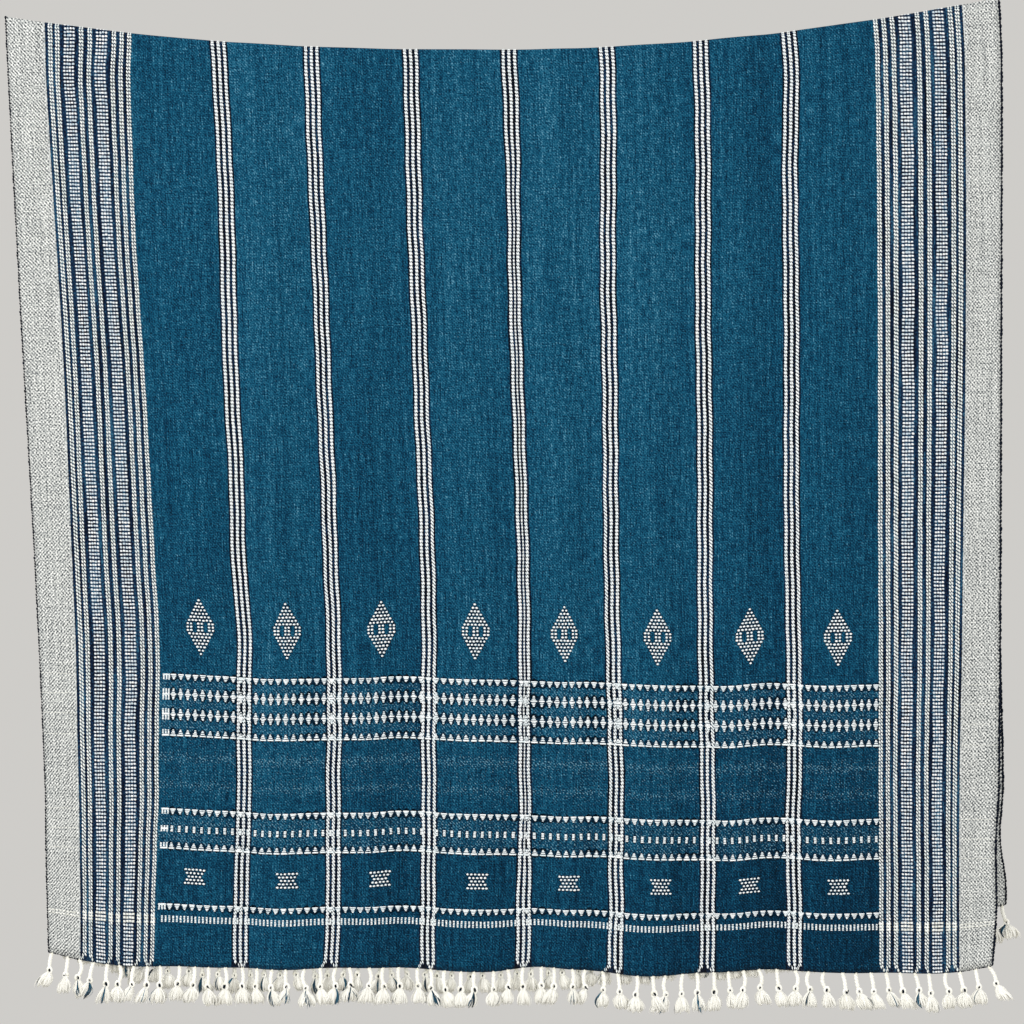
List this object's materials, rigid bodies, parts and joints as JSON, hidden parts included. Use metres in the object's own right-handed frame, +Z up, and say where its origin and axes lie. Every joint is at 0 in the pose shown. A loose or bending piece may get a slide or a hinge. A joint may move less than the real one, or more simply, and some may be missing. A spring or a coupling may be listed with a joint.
{
  "type": "wool shawl",
  "caption": "Handwoven wool shawl with striped borders and knotted fringes, folded across the middle and hanging by the fold.",
  "frame": {"origin": "on the underside of the fold, at the middle of the shawl's width, where a line or a peg bears", "axes": "+Z up, the front faces -Y, +X to the right as seen from the front"},
  "size_m": [1.0324, 0.0365, 1.0426],
  "materials": {
    "cloth": "dull handwoven wool twill with ivory and navy warp stripes",
    "fringe": "soft twisted wool cord, undyed"
  },
  "bodies": {
    "root": {"front_fall": "cloth", "top_fold": "cloth", "back_fall": "cloth", "front_fringe": "fringe", "back_fringe": "fringe"}
  },
  "joints": []
}
